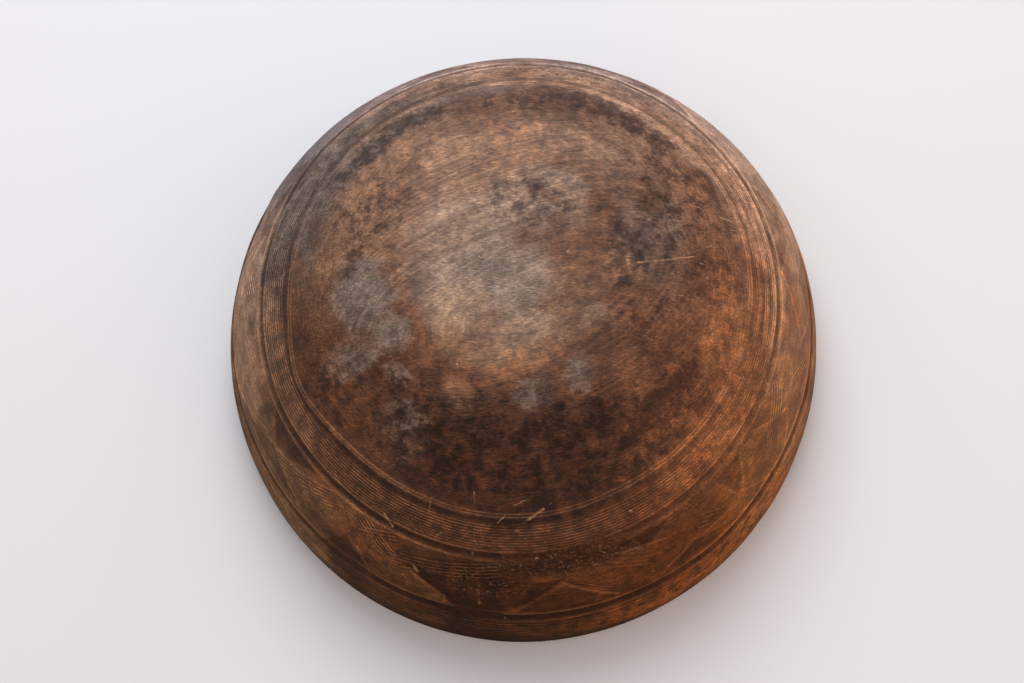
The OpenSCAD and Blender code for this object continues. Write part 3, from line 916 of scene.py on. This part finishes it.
def scratch_amount(graph, place_m, here, fine):
    """Where the scratches are, each near the straight line between two points of the wall."""
    stray = graph.vector("SUBTRACT", graph.noise(here, 0.3).outputs["Color"], (0.5, 0.5, 0.5))
    strayed = graph.vector("ADD", place_m, graph.vector("SCALE", stray, scale=SCRATCH_STRAY))
    scratched = None
    for start, end, width, strong in SCRATCHES:
        first, last = wall_point(*start), wall_point(*end)
        run = last - first
        reach = graph.vector("SUBTRACT", strayed, tuple(first))
        along = graph.vector("DOT_PRODUCT", reach, tuple(run))
        share = graph.math("DIVIDE", along, run.length_squared, clamp=True)
        nearest = graph.vector("SCALE", tuple(run), scale=share)
        distance = graph.vector("LENGTH", graph.vector("SUBTRACT", reach, nearest))
        hit = graph.fit(distance, width * SCRATCH_CORE, width * SCRATCH_EDGE, strong, 0.0)
        scratched = hit if scratched is None else graph.math("MAXIMUM", scratched, hit)
    return graph.times(scratched, graph.fit(fine, 0.35, 0.6, 0.35, 1.0))


def speck_amount(graph, here):
    """Where the tiny pale specks are: the middles of a few cells."""
    cells = graph.add("TexVoronoi")
    graph.put(cells.inputs["Vector"], here)
    graph.put(cells.inputs["Scale"], 0.11)
    red = graph.split(cells.outputs["Color"])[0]
    middle = graph.fit(cells.outputs["Distance"], 0.03, 0.075, 1.0, 0.0)
    return graph.times(graph.times(middle, graph.math("GREATER_THAN", red, 0.9)), 0.6)


def relief(graph, fine, lines, ridges, chipped):
    """Bumps too small for the mesh."""
    height = graph.times_add(lines, 0.16, graph.times(fine, 0.16))
    height = graph.times_add(ridges, 0.25, height)
    height = graph.times_add(chipped, 3.0, height)
    bumps = graph.add("Bump")
    for name, value in (("Strength", 1.0), ("Distance", 0.001), ("Height", height)):
        graph.put(bumps.inputs[name], value)
    return bumps.outputs[0]


def old_wood():
    """Dark hardwood, smoked, handled and dusty."""
    material = bpy.data.materials.new("old_carved_wood")
    graph = Graph(material)
    mask = graph.attribute("mask")
    dark, light, rough = graph.split(mask["Vector"])
    place_m = graph.add("TexCoord").outputs["Object"]
    here = graph.vector("SCALE", place_m, scale=MM_PER_M)
    mottle = graph.grain(here, 0.16, 4.0, 0.68, 0.2)
    fine = graph.grain(graph.stretched(here, 0.27, -20), 1.5, 3.0, 0.68)
    chips = graph.grain(here, 0.62, 2.0, 0.6)
    lines = grain_lines(graph, here)
    ridges, gaps = hatching(graph)

    colour = stained_wood(graph, here, mottle, fine, lines, dark)
    colour = light_cuts(graph, colour, mottle, fine, light, ridges, gaps)
    colour = graph.mix(scratch_amount(graph, place_m, here, fine), colour, SCRATCH_COLOUR)
    fleck = graph.times(rough, graph.fit(chips, 0.56, 0.64, 0.0, 0.75))
    colour = graph.mix(fleck, colour, FLECK_COLOUR)
    colour = graph.mix(speck_amount(graph, here), colour, SPECK_COLOUR)

    sheen = graph.times_add(light, 0.15, graph.fit(mottle, 0.3, 0.7, 0.46, 0.62))
    sheen = graph.times_add(dark, 0.25, sheen)
    sheen = graph.times_add(mask["Alpha"], -0.04, sheen, clamp=True)
    surface = graph.add("BsdfPrincipled")
    graph.put(surface.inputs["Base Color"], colour)
    graph.put(surface.inputs["Roughness"], sheen)
    graph.put(surface.inputs["Normal"], relief(graph, fine, lines, ridges, graph.times(rough, chips)))
    graph.put(surface.inputs["Specular IOR Level"], 0.2)
    graph.put(graph.add("OutputMaterial").inputs[0], surface.outputs[0])
    return material


bowl = carved_bowl()
bowl.data.materials.append(old_wood())
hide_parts("bowl")
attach(bowl, "root")

# ------------ stage
# In metres from here on
SHEET_HALF, SHEET_GAP = 4.0, 0.0004
STANDING_COLOUR, BACKDROP_COLOUR = (0.88, 0.88, 0.89, 1), (0.72, 0.73, 0.76, 1)
SHADOW_COLOUR = (0.10, 0.09, 0.085, 1)
SHADOW_FROM, SHADOW_TO, SHADOW_LEAST = 0.04, 0.17, 0.08
GLOW_SHARE = 0.75


def soft_shadow(graph, colour):
    """The sheet's colour, dark in a soft round under the bowl."""
    reach = graph.vector("LENGTH", graph.add("TexCoord").outputs["Object"])
    clear_of_bowl = graph.fit(reach, SHADOW_FROM, SHADOW_TO, SHADOW_LEAST, 1.0, "SMOOTHERSTEP")
    return graph.mix(clear_of_bowl, SHADOW_COLOUR, colour)


def paper(name, colour, stood_on):
    """Pale paper, seen only from its front: its back is clear."""
    material = bpy.data.materials.new(name)
    graph = Graph(material)
    if stood_on:
        colour = soft_shadow(graph, colour)
    front = graph.fill(graph.add("BsdfDiffuse"), colour)
    if stood_on:
        front = graph.blend(GLOW_SHARE, front, graph.fill(graph.add("Emission"), colour))
    behind = graph.add("NewGeometry").outputs["Backfacing"]
    sheet = graph.blend(behind, front, graph.add("BsdfTransparent").outputs[0])
    graph.put(graph.add("OutputMaterial").inputs[0], sheet)
    return material


def add_sheet(name, z, colour, faces_up):
    """A level sheet that lets the light from behind it through."""
    half = SHEET_HALF
    corners = [(-half, -half, z), (half, -half, z), (half, half, z), (-half, half, z)]
    mesh = bpy.data.meshes.new(name)
    mesh.from_pydata(corners, [], [(0, 1, 2, 3) if faces_up else (3, 2, 1, 0)])
    mesh.materials.append(paper(name, colour, faces_up))
    sheet = link(bpy.data.objects.new(name, mesh))
    sheet.visible_shadow = False
    sheet.visible_diffuse = False
    sheet.visible_glossy = faces_up


# The bowl stands on floor_up. The photograph looks at its underside, so a second
# sheet over the rim, which shows only from below, is the ground of that view.
add_sheet("floor_up", -SHEET_GAP, STANDING_COLOUR, True)
add_sheet("floor_down", HEIGHT / MM_PER_M + SHEET_GAP, BACKDROP_COLOUR, False)

# Soft studio light. It comes mostly from below and +Y, the side the photograph is
# lit from, and least from -Y, where a little warm light comes back. Each row is a
# direction, the cosines where its light starts and is full, and its colour.
DIM_LIGHT = (0.140, 0.110, 0.080, 1)
LIGHT_FROM = [
    ((0, 0.5, -0.87), -0.82, 0.42, (0.67, 0.70, 0.74, 1)),
    ((1, -0.1, 0.1), 0.45, 1.0, (0.50, 0.47, 0.43, 1)),
    ((-1, 0.5, 0.1), 0.45, 1.0, (0.95, 0.86, 0.78, 1)),
    ((-0.45, -0.86, -0.25), 0.5, 1.0, (0.62, 0.33, 0.15, 1)),
]
# What the camera sees past the sheets is plain
PAST_SHEETS = (0.72, 0.725, 0.74, 1)


def add_world():
    world = bpy.data.worlds.new("studio")
    bpy.context.scene.world = world
    graph = Graph(world)
    direction = graph.add("TexCoord").outputs["Generated"]
    sky = DIM_LIGHT
    for towards, starts, full, colour in LIGHT_FROM:
        cosine = graph.vector("DOT_PRODUCT", direction, Vector(towards).normalized())
        sky = graph.mix(graph.fit(cosine, starts, full), sky, colour)
    sky = graph.mix(graph.add("LightPath").outputs["Is Camera Ray"], sky, PAST_SHEETS)
    background = graph.fill(graph.add("Background"), sky)
    graph.put(graph.add("OutputWorld").inputs[0], background)


def add_lamp(name, where, aim, size, watts, colour):
    """A round lamp that points at aim."""
    light = bpy.data.lights.new(name, "AREA")
    light.shape, light.size, light.energy, light.color = "DISK", size, watts, colour
    lamp = link(bpy.data.objects.new(name, light))
    lamp.location = where
    lamp.rotation_mode = "QUATERNION"
    lamp.rotation_quaternion = (Vector(aim) - Vector(where)).to_track_quat("-Z", "Y")
    return lamp


add_world()
add_lamp("key_below", (0.1, 0.8, -1.1), (0, 0, 0.05), 1.0, 13, (1.0, 0.985, 0.97))
add_lamp("bounce_below", (-0.52, -0.76, -0.25), (0, 0, 0.06), 0.6, 1.5, (1.0, 0.58, 0.31))
above = add_lamp("key_above", (-0.5, 0.8, 1.3), (0, 0, 0.05), 1.5, 26, (1.0, 0.98, 0.95))
above.visible_glossy = False

# ------------ camera
# It looks at the underside, with its picture's top towards +Y. TILT is the angle
# between its line of sight and the bowl's axis, SWING the way it leans from +Y.
TILT, SWING = math.radians(18.29), math.radians(-6.64)
DISTANCE, ASIDE, DOWN = 1.0302, 0.00591, -0.00491
LENS, SENSOR = 70, 36


def add_camera():
    leaning = math.sin(TILT)
    axis = Vector((leaning * math.sin(SWING), leaning * math.cos(SWING), math.cos(TILT)))
    across = Vector((0, 1, 0)).cross(axis).normalized()
    turned = Matrix((-across, axis.cross(across), -axis))
    lens = bpy.data.cameras.new("camera")
    lens.lens, lens.sensor_width = LENS, SENSOR
    camera = link(bpy.data.objects.new("camera", lens))
    where = Vector((0, 0, HEIGHT / MM_PER_M)) + turned @ Vector((-ASIDE, -DOWN, DISTANCE))
    camera.matrix_world = Matrix.Translation(where) @ turned.to_4x4()
    bpy.context.scene.camera = camera


add_camera()
bpy.context.scene.view_settings.view_transform = "Standard"
